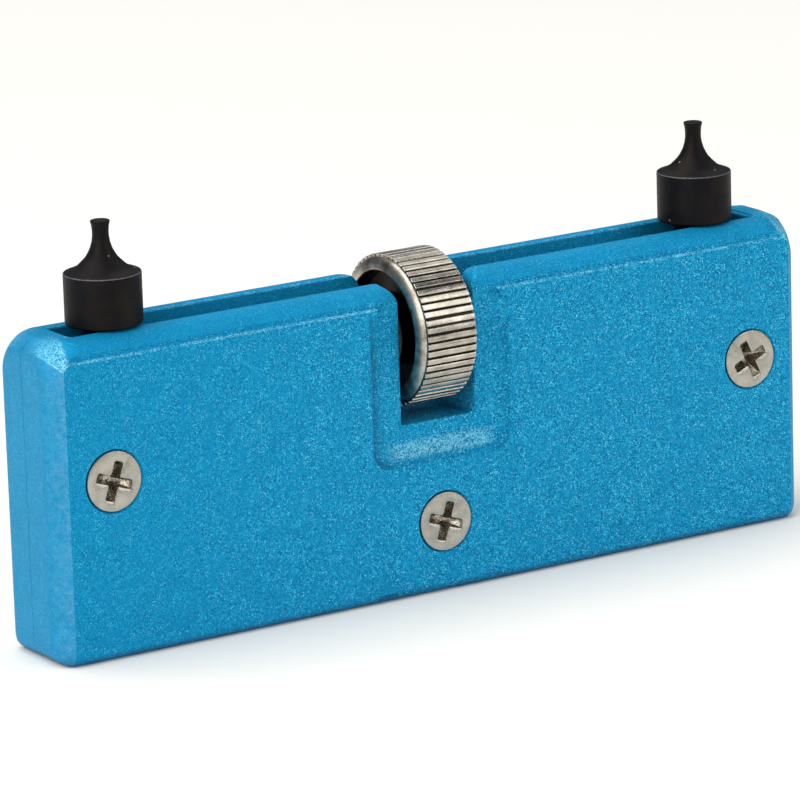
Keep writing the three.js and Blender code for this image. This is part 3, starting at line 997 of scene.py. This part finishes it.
def screw_hole(place):
    """Countersunk hole with a softened mouth, from the front face."""
    hole = SHANK_RADIUS + SHANK_GAP
    mouth_radius = HEAD_RADIUS + HOLE_GAP
    mouth = [(radius, -at) for radius, at in flared(mouth_radius, FACE, HOLE_SOFTNESS)]
    outside = -FACE - 1
    cone_end = -FACE + HOLE_SOFTNESS + mouth_radius - hole
    bottom = -FACE + SCREW_LENGTH + 0.5
    profile = [(0, outside), (mouth[-1][0], outside), *reversed(mouth)]
    profile += [(hole, cone_end), (hole, bottom), (0, bottom)]
    return moved(lathe(profile, "Y", steps=SMALL_ROUND), (place.x, 0, place.z))


def shell_cutters():
    """The slot, the two channels below it, the seats of the bushes and the screw holes."""
    cutters = [slot_cutter()]
    for side in (-1, 1):
        start, end = sorted((side * CHANNEL_START, side * CHANNEL_END))
        low = (start, -CHANNEL_HALF_WIDTH, CHANNEL_FLOOR)
        high = (end, CHANNEL_HALF_WIDTH, HEIGHT - LIP)
        cutters.append(box(low, high))
    for radius, reach in ((INNER_SEAT_RADIUS, CHANNEL_START + 0.5), (END_SEAT_RADIUS, END_SEAT_REACH)):
        cutters.append(moved(rod(radius, -reach, reach, "X"), (0, 0, AXIS)))
    cutters += [screw_hole(centre(name)) for name in CASE_SCREWS]
    return cutters


def make_shell(name, side):
    piece(f"{name}_painted", cut(shell_block(side), *shell_cutters()), PAINT, name, "case", sharp=26)


# ---------------------------------------------------------------- wheel

spindle_point = TURN_AXES["X"]


def ridge_columns():
    """Angle and radius of every column of the knurl, each ridge a little out of place and of height."""
    chance = random.Random(5)
    columns = []
    for ridge in range(RIDGES):
        shift = chance.uniform(-RIDGE_JITTER, RIDGE_JITTER)
        depth = RIDGE_DEPTH * chance.uniform(0.93, 1.0)
        top = WHEEL_RADIUS - 0.02 * chance.random()
        for share, height in RIDGE_FORM:
            angle = 2 * math.pi * (ridge + share + shift * height) / RIDGES
            columns.append((angle, top - depth * (1 - height)))
    return columns


def wheel_side_profile():
    """(radius, distance from the middle) from the bevel, over the dish and the hub, to the bore."""
    end = WHEEL_HALF
    floor = end - DISH_DEPTH
    rim = DISH_RADIUS
    hub = HUB_RADIUS
    return (
        *((radius, end - back) for radius, back in WHEEL_BEVEL),
        (rim + 0.14, end - 0.02), (rim + 0.05, end), (rim - 0.02, end), (rim - 0.08, end - 0.06),
        (rim - 0.12, end - 0.15), (rim - 0.2, floor + 0.3), (rim - 0.3, floor + 0.06), (rim - 0.5, floor),
        (hub + 0.4, floor), (hub + 0.1, floor + 0.08), (hub, floor + 0.3),
        (hub, end - 0.3), (hub - 0.1, end - 0.2), (BORE_RADIUS + 0.15, end - 0.2), (BORE_RADIUS, end - 0.35),
    )


def adjusting_wheel():
    """Knurled wheel: the ridges stop at the smooth bevel of each side, with rounded ends."""
    columns = ridge_columns()
    ridge_end = WHEEL_HALF - WHEEL_BEVEL_LENGTH
    smooth = (*reversed(wheel_side_profile()), (WHEEL_BEVEL_RADIUS, ridge_end + 0.02))
    rings = []
    for side in (-1, 1):
        half = []
        for radius, along in smooth:
            half.append([spindle_point(radius, side * along, angle) for angle, _ in columns])
        for back, drop in RIDGE_END:
            along = side * (ridge_end - back)
            half.append([spindle_point(radius - drop, along, angle) for angle, radius in columns])
        rings += half if side < 0 else reversed(half)
    return moved(loft(rings, "wheel", endless=True), (0, 0, AXIS))


# ---------------------------------------------------------------- lead screw and bearings

def thread_radius(along, angle, side):
    """Radius of the threaded surface; side is -1 for the left-hand thread."""
    phase = (along / THREAD_PITCH - side * angle / (2 * math.pi)) % 1
    height = min(1.0, max(0.0, 2.6 * abs(phase - 0.5) - 0.15))
    fade = min(1.0, (along - THREAD_START) / THREAD_PITCH, (THREAD_END - along) / THREAD_PITCH)
    return SCREW_RADIUS - THREAD_DEPTH * (1 - height) * max(0.0, fade)


def lead_screw():
    """Spindle with a left-hand thread on the left and a right-hand thread on the right."""
    length = THREAD_END - THREAD_START
    count = round(length / THREAD_PITCH * THREAD_ROWS)
    end = corners("lead_screw")[1].x
    journal = (
        (THREAD_END + 0.1, SCREW_RADIUS), (THREAD_END + 0.5, JOURNAL_RADIUS),
        (end - JOURNAL_CHAMFER, JOURNAL_RADIUS), (end, JOURNAL_RADIUS - JOURNAL_CHAMFER),
    )
    angles = [2 * math.pi * step / THREAD_STEPS for step in range(THREAD_STEPS)]
    rings = []
    for side in (-1, 1):
        half = []
        for row in range(count + 1):
            along = THREAD_START + length * row / count
            half.append([
                spindle_point(thread_radius(along, angle, side), side * along, angle) for angle in angles
            ])
        for along, radius in journal:
            half.append([spindle_point(radius, side * along, angle) for angle in angles])
        rings += reversed(half) if side < 0 else half
    return moved(loft(rings, "lead screw"), (0, 0, AXIS))


def chamfered_ring(inner, outer, half):
    """A ring about X with all four edges broken."""
    edge = RING_EDGE
    profile = [
        (inner + edge, -half), (outer - edge, -half), (outer, -half + edge), (outer, half - edge),
        (outer - edge, half), (inner + edge, half), (inner, half - edge), (inner, -half + edge),
    ]
    return lathe(profile, "X", closed=True, steps=SMALL_ROUND)


def ring_piece(node, material, body, shaft=SCREW_RADIUS):
    """A bush or washer round a shaft, with the size and place of its CAD node."""
    low, high = corners(node)
    half = (high.x - low.x) / 2
    outer = (high.z - low.z) / 2
    mesh = moved(chamfered_ring(shaft + FIT, outer, half), ((low.x + high.x) / 2, 0, AXIS))
    piece(f"{node}_turned", mesh, material, node, body)


# ---------------------------------------------------------------- carriers and claws

def carrier(node):
    """Block on the lead screw, with a round neck that stands in the slot and holds the claw's stud."""
    low, high = corners(node)
    middle = ((low.x + high.x) / 2, 0, 0)
    block = edge_rounded(box(low, (high.x, high.y, HEIGHT - LIP - FIT)), CARRIER_EDGE)
    neck_profile = [
        (0, AXIS), (NECK_RADIUS, AXIS), (NECK_RADIUS, high.z - 0.2), (NECK_RADIUS - 0.2, high.z), (0, high.z),
    ]
    neck = moved(lathe(neck_profile, "Z", steps=SMALL_ROUND), middle)
    bore = moved(rod(SCREW_RADIUS + FIT, low.x - 1, high.x + 1, "X"), (0, 0, AXIS))
    hole = moved(rod(STUD_RADIUS + FIT, AXIS, high.z + 1, "Z", 48), middle)
    piece(f"{node}_block", cut(joined(block, neck), bore, hole), OXIDE, node, node.replace("carrier", "jaw"))


def claw(node):
    """Turned claw: its stud in the carrier, its round foot just above the case, and its flare."""
    low, high = corners(node)
    bottom = HEIGHT + FIT
    profile = [
        (0, low.z), (STUD_RADIUS - 0.1, low.z), (STUD_RADIUS, low.z + 0.1), (STUD_RADIUS, bottom),
        (CLAW_RADIUS - 0.2, bottom), (CLAW_RADIUS - 0.06, bottom + 0.05), (CLAW_RADIUS, bottom + 0.2),
    ]
    profile += [(radius, CLAW_SHOULDER + height) for radius, height in CLAW_FLARE]
    middle = (low.x + high.x) / 2
    mesh = moved(lathe(profile, "Z"), (middle, 0, 0))
    piece(f"{node}_turned", mesh, OXIDE, node, node.replace("claw", "jaw"), sharp=60)


# ---------------------------------------------------------------- case screws

def cross_loop(reach, width):
    """Outline of a cross recess: four arms of a given reach and half width, with rounded corners."""
    end_radius = width * 0.45
    inner_radius = min(0.2, (reach - width) * 0.5)
    loop = []
    for arm in (Vector((1, 0)), Vector((0, 1)), Vector((-1, 0)), Vector((0, -1))):
        side = Vector((-arm.y, arm.x))
        loop.append((*(arm * reach - side * width), end_radius))
        loop.append((*(arm * reach + side * width), end_radius))
        loop.append((*(arm * width + side * width), inner_radius))
    return rounded_loop(loop, 3)


def recess_cutter():
    """Cross recess that narrows with depth, with a softened mouth."""
    rings = []
    for depth, reach, width in RECESS_STATIONS:
        loop = cross_loop(reach, width)
        rings.append([(point["at"].x, depth, point["at"].y) for point in loop])
    return loft(rings, "recess")


def case_screw(node):
    """Countersunk screw, its recess turned as it was left when it was tightened."""
    place = centre(node)
    head = [
        (0, 0.0), (HEAD_RADIUS - 0.16, 0.0), (HEAD_RADIUS - 0.05, 0.03), (HEAD_RADIUS, 0.12),
        (HEAD_RADIUS - 0.02, 0.2), (SHANK_RADIUS, HEAD_RADIUS - SHANK_RADIUS + 0.15),
        (SHANK_RADIUS, SCREW_LENGTH - 0.3), (SHANK_RADIUS - 0.3, SCREW_LENGTH), (0, SCREW_LENGTH),
    ]
    mesh = cut(lathe(head, "Y"), recess_cutter())
    mesh.transform(Matrix.Rotation(math.radians(-RECESS_TURNS[node]), 4, "Y"))
    piece(f"{node}_plated", moved(mesh, (place.x, -FACE, place.z)), SCREW_NICKEL, node, "case", sharp=40)


# ---------------------------------------------------------------- the object

make_shell("front_shell", -1)
make_shell("rear_shell", 1)
for screw_name in CASE_SCREWS:
    case_screw(screw_name)
piece("adjusting_wheel_knurled", adjusting_wheel(), WHEEL_NICKEL, "adjusting_wheel", "spindle", sharp=26)
piece("lead_screw_threaded", lead_screw(), STEEL, "lead_screw", "spindle")
for hand in ("left", "right"):
    ring_piece(f"{hand}_inner_bush", BRASS, "case")
    ring_piece(f"{hand}_end_bush", BRASS, "case", JOURNAL_RADIUS)
    ring_piece(f"{hand}_thrust_washer", STEEL, "spindle")
    carrier(f"{hand}_carrier")
    claw(f"{hand}_claw")


# ---------------------------------------------------------------- floor, lights and camera

WARM_WHITE = (1.0, 0.975, 0.92)
FLOOR_COLOUR = (0.94, 0.92, 0.885, 1)
CAMERA = {"azimuth": -32.56, "elevation": 14.33, "roll": -1.78, "distance": 592.6, "lens": 263.3}
TARGET = Vector((-1.52, 0.0, 19.18))
# Softboxes: name, azimuth and elevation in degrees, distance and size in metres, and power in watts.
SOFTBOXES = (
    ("overhead", -115, 68, 1.25, (1.4, 1.4), 15),
    ("back right light", 128, 49, 1.25, (1.4, 0.8), 3.3),
    ("left key", -68, 27, 0.9, (0.8, 0.75), 5.1),
    ("front right fill", 40, 26, 1.0, (0.8, 0.75), 3.9),
)


def direction(azimuth, elevation):
    """Unit vector from the object towards a viewer or a light; azimuth 0 is in front."""
    turn = math.radians(azimuth)
    rise = math.radians(elevation)
    return Vector((math.sin(turn) * math.cos(rise), -math.cos(turn) * math.cos(rise), math.sin(rise)))


def add_camera():
    data = bpy.data.cameras.new("camera")
    data.lens = CAMERA["lens"]
    data.sensor_width = 36
    data.clip_start = 0.01
    camera = bpy.data.objects.new("camera", data)
    bpy.context.scene.collection.objects.link(camera)
    back = direction(CAMERA["azimuth"], CAMERA["elevation"])
    right = Vector((0, 0, 1)).cross(back).normalized()
    up = back.cross(right)
    roll = math.radians(CAMERA["roll"])
    rolled_right = math.cos(roll) * right + math.sin(roll) * up
    rolled_up = math.cos(roll) * up - math.sin(roll) * right
    turn = Matrix((rolled_right, rolled_up, back)).transposed().to_4x4()
    camera.matrix_world = Matrix.Translation((TARGET + back * CAMERA["distance"]) * MM) @ turn
    bpy.context.scene.camera = camera


def add_floor():
    material = bpy.data.materials.new("pale floor")
    material.use_nodes = True
    surface = material.node_tree.nodes["Principled BSDF"]
    surface.inputs["Base Color"].default_value = FLOOR_COLOUR
    surface.inputs["Roughness"].default_value = 0.9
    surface.inputs["Specular IOR Level"].default_value = 0.1
    bm = bmesh.new()
    bmesh.ops.create_grid(bm, x_segments=1, y_segments=1, size=4)
    floor = bpy.data.objects.new("floor", mesh_from(bm, "floor"))
    floor.data.materials.append(material)
    floor.location.z = cad_low.z
    bpy.context.scene.collection.objects.link(floor)


def add_softbox(name, azimuth, elevation, distance, size, power):
    data = bpy.data.lights.new(name, "AREA")
    data.shape = "RECTANGLE"
    data.size, data.size_y = size
    data.energy = power
    data.color = WARM_WHITE
    light = bpy.data.objects.new(name, data)
    towards = direction(azimuth, elevation)
    light.location = towards * distance + TARGET * MM
    light.rotation_euler = towards.to_track_quat("Z", "Y").to_euler()
    bpy.context.scene.collection.objects.link(light)


def add_world(colour, strength):
    world = bpy.data.worlds.new("studio")
    world.use_nodes = True
    world.node_tree.nodes["Background"].inputs["Color"].default_value = (*colour, 1)
    world.node_tree.nodes["Background"].inputs["Strength"].default_value = strength
    bpy.context.scene.world = world


add_camera()
add_floor()
add_world((0.58, 0.74, 0.95), 0.17)
for softbox in SOFTBOXES:
    add_softbox(*softbox)
bpy.context.scene.view_settings.view_transform = "Standard"
